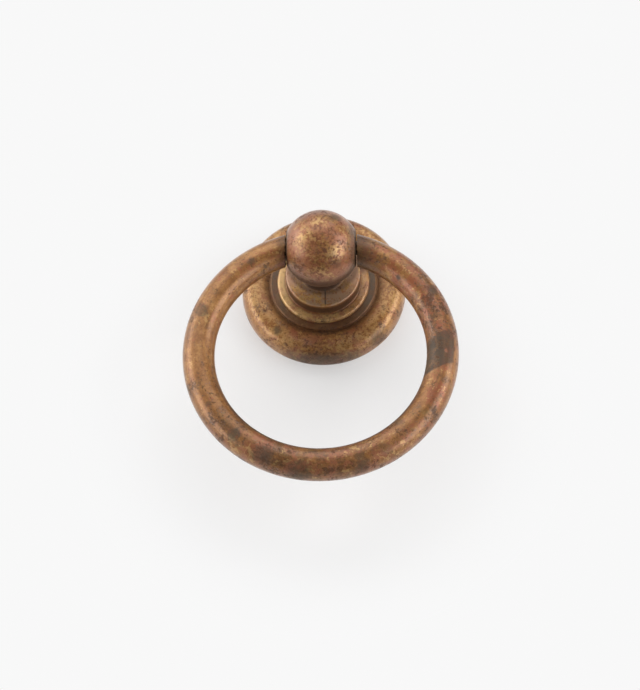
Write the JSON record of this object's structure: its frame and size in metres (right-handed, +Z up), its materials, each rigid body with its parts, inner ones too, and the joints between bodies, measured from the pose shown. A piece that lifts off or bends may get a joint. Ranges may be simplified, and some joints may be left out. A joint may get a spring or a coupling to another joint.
{
  "type": "ring pull handle",
  "caption": "Round drawer pull with a stepped backplate, a ball post and a thick ring that swings on a pin through the ball.",
  "frame": {"origin": "centre of the backplate's back face, where the fixing screw enters the post", "axes": "as fixed to an upright drawer front: +Z up, +Y into the drawer front, +X to the right as seen from the front"},
  "size_m": [0.0478, 0.0246, 0.0595],
  "materials": {
    "aged_copper": "aged copper-brown patina, satin",
    "pin_steel": "drawn"
  },
  "bodies": {
    "base": {"rosette": "aged_copper", "post": "aged_copper"},
    "swinging_ring": {"ring": "aged_copper", "pivot_pin": "pin_steel"}
  },
  "joints": [
    {"name": "ring_swing", "type": "hinge", "parent": "base", "child": "swinging_ring", "pos_m": [0, -0.0178, 0], "axis": [-1, 0, 0], "range_deg": [-20, 200]}
  ]
}
